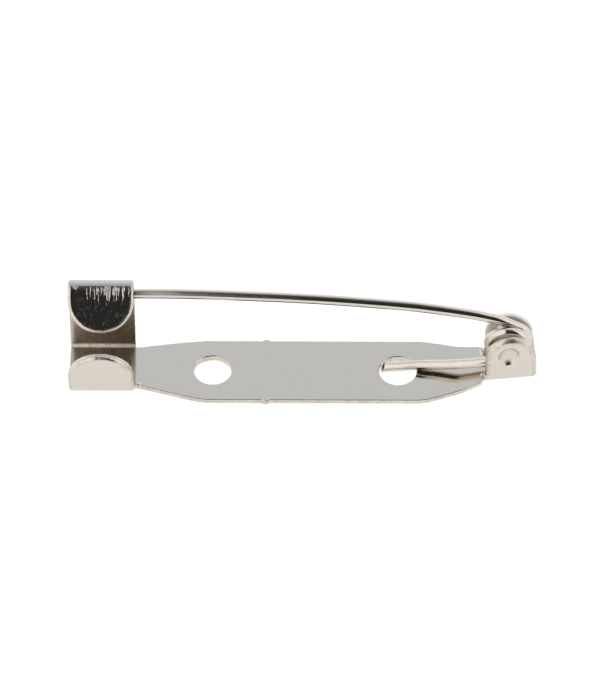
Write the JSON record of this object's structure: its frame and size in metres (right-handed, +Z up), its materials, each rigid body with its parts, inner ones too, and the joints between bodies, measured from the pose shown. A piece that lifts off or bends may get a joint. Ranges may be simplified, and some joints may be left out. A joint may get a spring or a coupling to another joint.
{
  "type": "brooch pin finding",
  "caption": "Bar pin back with fixing holes, a rolled open catch and a dimpled hinge that holds a sprung pin wire.",
  "frame": {"origin": "middle of the bar's flat underside, which is glued, sewn or riveted to the brooch", "axes": "+X along the bar from the catch to the hinge, +Z up from the underside towards the needle, the catch's flap folds over towards -Y"},
  "size_m": [0.0318, 0.0056, 0.007],
  "materials": {
    "plated_sheet": "bright nickel plate on stamped steel sheet",
    "plated_wire": "bright nickel plate on drawn steel wire"
  },
  "bodies": {
    "bar": {"base_bar": "plated_sheet"},
    "pin": {"pin_wire": "plated_wire"}
  },
  "joints": [
    {"name": "pin_hinge", "type": "hinge", "parent": "bar", "child": "pin", "pos_m": [0.01385, 0, 0.00351], "axis": [0, 1, 0], "range_deg": [0, 170]}
  ]
}
